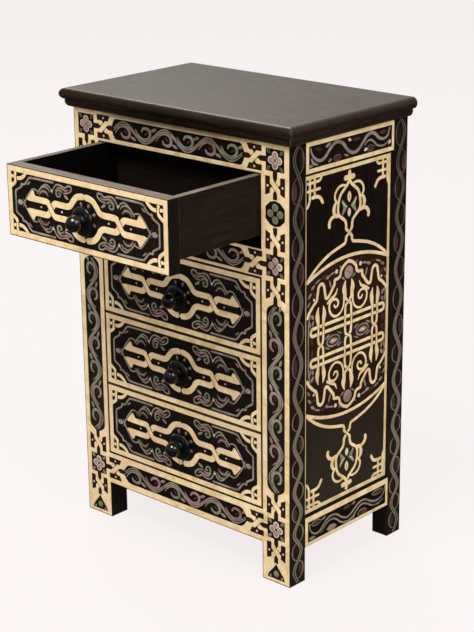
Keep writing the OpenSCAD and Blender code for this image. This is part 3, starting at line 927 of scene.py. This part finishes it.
def finial(sheet, over):
    """Half of a finial, whose strand crosses its neck and runs on as the outer arc."""
    across = np.linspace(-20, -ARC_END, 14)
    strand = joined(
        smooth((2.8, 224), (6, 220), (12, 215.6), (18.6, 210.4), (22.6, 203), (24.4, 195),
               (24.8, 187.5), (22, 180), (14, 174.4), (8.4, 169.4), (6.6, 163), (6.2, 158),
               (0, 151.8), (-6.4, 145.6), (-6.8, 141.4), (-9.4, 137.6), (-14, 136)),
        np.column_stack([across, bow(136.2, 130, across)]),
    )
    if over:
        bridge(sheet, dense(strand), FINIAL_STRAP, (0, 151.8), 7.5)
    else:
        stroke(sheet, "cream", strand, FINIAL_STRAP)
    # Its crest, its lobe and the hook under them
    curve(sheet, "cream", [3, 3.6, 3.8, 3.8, 3.8, 3.4],
          (7, 220.4), (15, 222.4), (24, 220.6), (30.6, 214), (31.6, 206), (27, 199.6))
    curve(sheet, "cream", [3.4, 5.4, 6.8, 5.4, 3.8],
          (27, 200.4), (31.6, 197.4), (33.8, 190.5), (32.2, 184.4), (27, 181.5))
    curve(sheet, "cream", [4.6, 5, 5.4, 5.8, 5.6],
          (26, 180), (33, 181.4), (40, 178.8), (43.8, 173), (43.4, 168.5), lift=0.08)
    stroke(sheet, "cream", line((0, 231.4), (8.6, 231.4)), 7.6)
    stroke(sheet, "dark", line((3.5, 227.6), (8.2, 226)), [0.6, 1.2, 0.6], 0.1)
    wing = line((3, 190), (8.5, 195.4), (15.2, 201.6), (17, 199), (14.2, 194), (13, 190),
                (14, 186.2), (16.6, 181.4), (14.8, 178.4), (8.6, 184.6))
    plate(sheet, "green", [sheet.flat(wing)], [])
    curve(sheet, "cream", [1, 2.6, 1.4], (6.5, 190), (11, 193), (15.4, 199), lift=0.1)


def bud(sheet, u, v, way, high, swell):
    """Flared end of a column's strand. way is the side it swells to."""
    widths = [COLUMN_STRAP, 4.6 + 0.5 * swell, 5 + 0.8 * swell, 4 + 0.4 * swell, 1.6]
    shape = ((0, 0), (0.3, 0.35), (0.5, 0.6), (0.25, 0.85), (0, 1))
    path = [(u + aside * way * swell, v + rise * high) for aside, rise in shape]
    curve(sheet, "cream", widths, *path, lift=0.1)


def medallion_quarter(sheet):
    """Lobed band, scroll and flecks in one quarter of a panel's medallion."""
    curve(sheet, "cream", 4.8, (-1, 110.2), (8.5, 106.8), (16.4, 100), (18.8, 92.4), (24, 89.6),
          (30.6, 88.6), (31.4, 82.6), (37.5, 74.6), (45.4, 67), (50.4, 67.6), (52.4, 77),
          (54.6, 86), (60.2, 90), (66, 86.4), (68, 77), (70.6, 67.6), (79, 61), (87, 52.6),
          (90, 47), lift=0.05)
    curve(sheet, "cream", [4.4, 3.6, 3.4, 3.6, 3.8, 3.8, 3.8, 3.6, 3.4, 3], (9.6, 60), (10.6, 48),
          (16, 39), (26, 34.8), (35.4, 37.8), (41.6, 46), (42, 55), (36.4, 60.4), (28, 60.2),
          (22.8, 55.2), (24, 49.6), (29.4, 48.6), (31.6, 52))
    curve(sheet, "cream", [4, 5, 4.2, 1.6], (46, 58.6), (37, 63.6), (29, 67.6), (24.6, 75))
    for fleck in (
        ("grey", 37, 99.5, -12, 12, 3), ("pink", 46, 96.5, -18, 9, 5),
        ("grey", 40.5, 85, 70, 13, 3.4), ("rose", 55, 98.5, -14, 11, 3.6),
        ("grey", 68, 95.5, -20, 13, 3), ("pink", 78, 89, -30, 10, 4.6), ("rose", 75, 78, 60, 10, 4),
        ("pink", 85, 78, -45, 10, 4.4), ("grey", 87, 66, -50, 9, 3),
        ("grey", 17, 104.5, 40, 8, 2.6), ("pink", 79, 46, 55, 9, 5), ("grey", 84.5, 36, 80, 12, 3),
        ("pink", 78.5, 36, 110, 8, 4.4), ("rose", 80, 8, 80, 12, 4.4),
        ("grey", 19, 8.5, 25, 12, 2.8), ("grey", 46.4, 8.5, -25, 12, 2.8),
        ("green", 12, 87, 35, 8, 3),
    ):
        leaf(sheet, *fleck)
    dot(sheet, "white", 27, 100.4, 3.2)
    dot(sheet, "rose", 27, 100.4, 1.4, 0.12)
    dot(sheet, "white", 76, 70.4, 2.2)


def lattice(sheet):
    """Corner of a side panel, where short bars cross, at its upper right."""
    for bar, width, lift in (
        (smooth((61.5, 242), (66, 238.8), (78, 238.2), (90, 238.2)), 4, 0.0),
        (smooth((64.5, 227.6), (72, 227.4), (90, 227.4)), 4, 0.0),
        (smooth((80, 217.2), (71, 217.2), (63.6, 214.4), (58.4, 207)), 5, 0.0),
        (line((75.5, 243), (75.5, 217.4)), 4, 0.1),
        (smooth((85.6, 243), (85.6, 228), (85.8, 215), (88, 209), (91, 205)), 4.2, 0.12),
    ):
        stroke(sheet, "cream", bar, width, lift)


def column(sheet, u, aside, crossings, top):
    """Two strands side by side, which cross and pass over the medallion's level bars."""
    marks = sorted([*crossings, *[-c for c in crossings if c]], reverse=True)
    for over in (False, True):
        way = 1 if over else -1
        points = [(u + way * aside, top)]
        for mark in marks:
            points += [(u + way * aside, mark + 7), (u, mark), (u - way * aside, mark - 7)]
            way = -way
        points.append((u + way * aside, -top))
        strand = dense(smooth(*points, steps=5))
        stroke(sheet, "cream", strand, COLUMN_STRAP, 0.22 if over else 0.16)
        for bar in (-BAR_V, BAR_V):
            near = np.abs(strand[:, 1] - bar) < 12
            stroke(sheet, "dark", strand[near], [3, 6.4, 6.4, 6.4, 3])
        if over:
            for mark in marks:
                gap = np.abs(strand[:, 1] - mark)
                stroke(sheet, "dark", strand[gap < 5.5], [3, 6.4, 6.4, 3], 0.1)
                stroke(sheet, "cream", strand[gap < 7], COLUMN_STRAP, 0.34)


def paint_panel(sheet, near, far):
    low, high = side_panel_z, side_top_rail_z
    framed(sheet, (near + 1, far - 0.8, low + 2.5, high - 4.5),
           (near + 7, far - 6, low + 8.5, high - 10))
    middle = sheet.at(*PANEL_MIDDLE)
    u = np.linspace(-ARC_END, ARC_END, 25)
    crown = np.column_stack([u, bow(118, 215, u)])
    lens = joined(crown, mirrored(crown, 1))
    plate(middle, "dark", [middle.flat(lens)], [], -0.36)
    for mirror_v in (False, True):
        half = middle.at(mirror_v=mirror_v)
        stroke(half, "cream", crown, CROWN_STRAP)
        stroke(half, "cream", line((0, 238.4), (0, 226)), 6.6, 0.05)
        leaf(half, "cream", 0, 203.5, 90, 15, 8)
        leaf(half, "green", 0, 203.5, 90, 7, 2.4, 0.12)
        leaf(half, "white", 0, 181, 90, 12, 7)
        leaf(half, "pink", 0, 180, 90, 6, 2.6, 0.12)
        dot(half, "pink", 0.4, 93.6, 9.6)
        stroke(half, "rose", line((-5, 96), (6, 91)), [0.8, 1.6, 0.8], 0.1)
        loop = joined(arc(77.6, BAR_V, 5.4, -90, 90), arc(-77.6, BAR_V, 5.4, 90, 270))
        stroke(half, "cream", loop, CROWN_STRAP, 0.02, True)
        for mirror_u in (False, True):
            quarter = half.at(mirror_u=mirror_u)
            finial(quarter, not mirror_u)
            medallion_quarter(quarter)
            lattice(quarter)
            bud(quarter, 6.8, 56, 1, 26, 5.5)
            bud(quarter, 66.3, 30, 1, 27, 4.5)
            bud(quarter, 55.7, 30, -1, 27, 4.5)
    for side in (-1, 1):
        column(middle, 61 * side, 5.3, (0,), 34)
        eye = middle.at(33 * side, 0)
        turn = np.radians(np.arange(0, 360, 15))
        ring = np.column_stack([14 * np.cos(turn), 8 * np.sin(turn)])
        stroke(eye, "grey", ring, 2.4, closed=True)
        leaf(eye, "pink", 0, 0, 0, 19, 8.6)
        leaf(eye, "white", 0, 0, 0, 12, 4, 0.12)
        rim = smooth((84, 50), (87.5, 36), (88, 12), (88, -12), (87.5, -36), (84, -50))
        stroke(middle, "grey", rim * (side, 1), 2.4)
    column(middle, 0, 6.5, (50, 0), 60)


def paint_side(pots, side):
    """Paint of the right side (1) or the left side (-1), with u to the back on both."""
    face, panel = (
        Sheet(pots, (side * x, centre_y, 0), (0, side, 0)).at(mirror_u=side < 0)
        for x in (half_w, panel_x)
    )
    near, far = post_high.y - centre_y, back_post_low.y - centre_y
    winding(face, (front_y - centre_y + near) / 2 + 0.5, 1)
    winding(face, (back_post_high.y - centre_y + far) / 2 + 1, -1)
    side_rail_top(face, near, far)
    side_rail_bottom(face, near, far)
    paint_panel(panel, near, far)


# Meshes from the pots

def add_object(name, data):
    made = bpy.data.objects.new(name, data)
    bpy.context.scene.collection.objects.link(made)
    return made


def bring_out(pots, name, body):
    """Makes one piece of each colour in a body's pots."""
    for colour, pot in pots.items():
        if not pot.faces:
            continue
        mesh = bpy.data.meshes.new(f"{name}_{colour}")
        mesh.from_pydata(np.vstack(pot.points).tolist(), [], pot.faces)
        mesh.materials.append(pot.material)
        piece = add_object(f"{name}_{colour}", mesh)
        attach(piece, body)


root_pots = new_pots()
paint_front(root_pots)
for side in (1, -1):
    paint_side(root_pots, side)
bring_out(root_pots, "carcass_paint", "root")
for n in DRAWERS:
    drawer_pots = new_pots()
    paint_drawer(drawer_pots, n)
    bring_out(drawer_pots, f"drawer_{n}_paint", f"drawer_{n}")


# Finishes of the carried-over parts

# The first of these whose words are in a node's name is its finish
FINISHES = (
    ("moulding_front", espresso["X"]), ("moulding", espresso["Y"]), ("table", espresso["X"]),
    ("runner", bare_wood), ("stops", bare_wood), ("screw", screw_zinc), ("knob", knob_gloss),
    ("side_rail", lacquer["Y"]), ("rail", lacquer["X"]), ("side_panel", side_lacquer),
    ("post", lacquer["Z"]), ("back_panel", lacquer["Z"]), ("front", front_board),
    ("bottom", box_floor), ("side", box_board["Y"]), ("back", box_board["X"]),
)
for node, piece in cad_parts.items():
    piece.data.materials.clear()
    piece.data.materials.append(next(finish for words, finish in FINISHES if words in node))


# Floor, background, lights and camera

BACKDROP = tone(253, 247, 247)
# How far the floor reaches each way, and how far it lies under the posts, in metres
FLOOR_REACH = 30.0
FLOOR_DROP = 0.0005
# Share of the floor's own colour in what the camera sees, against its shadows
FLOOR_GLOW = 0.91
# Point that the lamps are aimed at
AIM = Vector((0, 0.1, 0.35))
# The photograph's viewpoint, fitted to the edges of the carcass: yaw, pitch and roll in radians
VIEW = (0.7413, 0.3222, 0.0108)
VIEW_PLACE = (1.6557, -1.7113, 1.1542)
SENSOR = 36
FOCAL_PIXELS = 1719
IMAGE_HEIGHT = 632


def make_floor():
    """A pale floor that shows its own colour and the object's shadow."""
    n = Nodes("pale_floor")
    lit = n.add("BsdfDiffuse", {"Color": tone(240, 236, 234)})
    glow = n.add("Emission", {"Color": tone(250, 243, 243), "Strength": 1.0})
    path = n.add("LightPath").outputs
    rays = {0: path["Is Camera Ray"], 1: path["Is Glossy Ray"]}
    seen = n.add("Math", rays, operation="MAXIMUM").outputs[0]
    inputs = {0: n.multiply(seen, FLOOR_GLOW), 1: lit.outputs[0], 2: glow.outputs[0]}
    material = n.shown(n.add("MixShader", inputs))
    square = box_line(-FLOOR_REACH, FLOOR_REACH, -FLOOR_REACH, FLOOR_REACH)
    mesh = bpy.data.meshes.new("floor")
    mesh.from_pydata([(x, y, 0) for x, y in square.tolist()], [], [(0, 1, 2, 3)])
    mesh.materials.append(material)
    floor = add_object("floor", mesh)
    floor.location.z = -FLOOR_DROP
    floor.visible_glossy = False


def make_world(front, behind, below):
    """Soft light from all round, strongest from behind the object, before a white ground."""
    n = Nodes("studio", bpy.data.worlds, "OutputWorld")
    way = n.parts(n.add("TexCoord").outputs["Generated"])
    level = n.span(way[1], front, behind, 0.1, 0.7)
    strength = n.span(way[2], below, level, -0.15, 0.1)
    soft = n.add("Background", {"Color": (1, 0.99, 0.98, 1), "Strength": strength})
    seen = n.add("Background", {"Color": BACKDROP})
    eye = n.add("LightPath").outputs["Is Camera Ray"]
    inputs = {0: eye, 1: soft.outputs[0], 2: seen.outputs[0]}
    bpy.context.scene.world = n.shown(n.add("MixShader", inputs))


def lamp(name, place, size, watts):
    data = bpy.data.lights.new(name, "AREA")
    data.shape = "SQUARE"
    data.size = size
    data.energy = watts
    made = add_object(name, data)
    made.location = place
    made.rotation_euler = (AIM - Vector(place)).to_track_quat("-Z", "Y").to_euler()


def make_camera():
    yaw, pitch, roll = VIEW
    ahead = math.cos(pitch)
    forward = Vector((-math.sin(yaw) * ahead, math.cos(yaw) * ahead, -math.sin(pitch)))
    right = Vector((math.cos(yaw), math.sin(yaw), 0))
    down = forward.cross(right)
    level = math.cos(roll) * right + math.sin(roll) * down
    below = math.cos(roll) * down - math.sin(roll) * right
    data = bpy.data.cameras.new("camera")
    data.sensor_fit = "VERTICAL"
    data.sensor_height = SENSOR
    data.lens = FOCAL_PIXELS * SENSOR / IMAGE_HEIGHT
    camera = add_object("camera", data)
    turn = Matrix((level, -below, -forward)).transposed().to_4x4()
    camera.matrix_world = Matrix.Translation(VIEW_PLACE) @ turn
    bpy.context.scene.camera = camera


make_floor()
make_world(0.26, 0.7, 0.05)
lamp("key", (0.2, -1.7, 3.3), 1.6, 117)
lamp("fill", (2.7, -0.4, 2.6), 1.8, 43)
lamp("back", (-2.6, 1.9, 3.2), 1.6, 62)
make_camera()
bpy.context.scene.view_settings.view_transform = "Standard"
